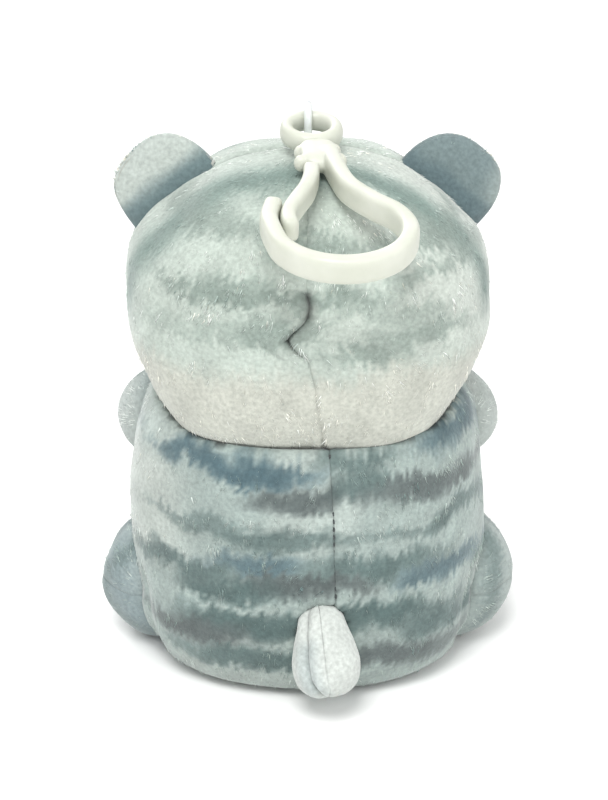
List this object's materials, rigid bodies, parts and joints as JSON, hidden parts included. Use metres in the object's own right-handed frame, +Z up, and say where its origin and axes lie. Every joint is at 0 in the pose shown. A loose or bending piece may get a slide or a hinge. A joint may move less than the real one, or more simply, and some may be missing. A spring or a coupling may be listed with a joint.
{
  "type": "plush cat clip-on toy",
  "caption": "Small seated plush cat with a big head, short tail and a plastic snap hook on a clear cord loop at its crown.",
  "frame": {"origin": "on the surface that the cat sits on, under the middle of its box", "axes": "+Z up, the cat faces -Y, +X is the cat's own left"},
  "size_m": [0.0744, 0.0928, 0.1016],
  "materials": {
    "plush_pale": "short pile, pale mint grey",
    "plush_stripe": "short pile, blue-grey stripes over mint grey",
    "plush_cream": "short pile, cream",
    "stuffing": "polyester fibre",
    "hook_plastic": "white, slightly translucent, moulded",
    "cord_clear": "clear soft plastic",
    "eye_black": "polished",
    "washer_plastic": "moulded",
    "nose_thread": "satin stitch, dusty pink",
    "dark_thread": "sewing thread"
  },
  "bodies": {
    "torso": {"body_front": "plush_cream", "body_back_left": "plush_stripe", "body_back_right": "plush_stripe", "base_panel": "plush_stripe", "body_stuffing": "stuffing"},
    "head": {"head_face": "plush_pale", "head_back_left": "plush_pale", "head_back_right": "plush_pale", "head_stuffing": "stuffing", "ear_left_front": "plush_cream", "ear_left_back": "plush_pale", "ear_right_front": "plush_cream", "ear_right_back": "plush_stripe", "eye_left": "eye_black", "eye_washer_left": "washer_plastic", "eye_right": "eye_black", "eye_washer_right": "washer_plastic", "nose": "nose_thread", "mouth_thread": "dark_thread", "closing_thread": "dark_thread"},
    "arm_left": {"arm_left_outer": "plush_pale", "arm_left_inner": "plush_cream", "arm_left_stuffing": "stuffing"},
    "arm_right": {"arm_right_outer": "plush_pale", "arm_right_inner": "plush_cream", "arm_right_stuffing": "stuffing"},
    "leg_left": {"leg_left_upper": "plush_pale", "leg_left_lower": "plush_stripe", "foot_left_sole": "plush_cream", "leg_left_stuffing": "stuffing"},
    "leg_right": {"leg_right_upper": "plush_pale", "leg_right_lower": "plush_stripe", "foot_right_sole": "plush_cream", "leg_right_stuffing": "stuffing"},
    "tail": {"tail_left": "plush_pale", "tail_right": "plush_pale", "tail_stuffing": "stuffing"},
    "loop": {"hang_loop": "cord_clear", "loop_knot": "cord_clear"},
    "hook": {"clip_hook": "hook_plastic"},
    "gate": {"clip_gate": "hook_plastic"}
  },
  "joints": [
    {"name": "head_nod", "type": "hinge", "parent": "torso", "child": "head", "pos_m": [0, -0.00123, 0.0668], "axis": [1, 0, 0], "range_deg": [-6, 6], "stiffness_Nm_per_rad": 0.1},
    {"name": "arm_left_swing", "type": "hinge", "parent": "torso", "child": "arm_left", "pos_m": [0.0268, -0.01023, 0.0412], "axis": [-1, 0, 0], "range_deg": [-20, 20], "stiffness_Nm_per_rad": 0.01},
    {"name": "arm_right_swing", "type": "hinge", "parent": "torso", "child": "arm_right", "pos_m": [-0.0268, -0.01023, 0.0412], "axis": [-1, 0, 0], "range_deg": [-20, 20], "stiffness_Nm_per_rad": 0.01},
    {"name": "leg_left_lift", "type": "hinge", "parent": "torso", "child": "leg_left", "pos_m": [0.0252, -0.00373, 0.012], "axis": [-1, 0, 0], "range_deg": [0, 17], "stiffness_Nm_per_rad": 0.03},
    {"name": "leg_right_lift", "type": "hinge", "parent": "torso", "child": "leg_right", "pos_m": [-0.0252, -0.00373, 0.012], "axis": [-1, 0, 0], "range_deg": [0, 17], "stiffness_Nm_per_rad": 0.03},
    {"name": "tail_lift", "type": "hinge", "parent": "torso", "child": "tail", "pos_m": [-0.0024, 0.02577, 0.0158], "axis": [1, 0, 0], "range_deg": [0, 30], "stiffness_Nm_per_rad": 0.005},
    {"name": "loop_twist", "type": "hinge", "parent": "head", "child": "loop", "pos_m": [0, -0.00123, 0.0936], "axis": [0, 0, 1], "range_deg": [-40, 40]},
    {"name": "hook_swing", "type": "hinge", "parent": "loop", "child": "hook", "pos_m": [0, -0.00423, 0.0982], "axis": [0.9903, 0.1392, 0], "range_deg": [0, 170]},
    {"name": "gate_flex", "type": "hinge", "parent": "hook", "child": "gate", "pos_m": [-0.00052, 0.01314, 0.0949], "axis": [-0.0261, 0.1856, 0.9823], "range_deg": [0, 16], "stiffness_Nm_per_rad": 0.02}
  ]
}
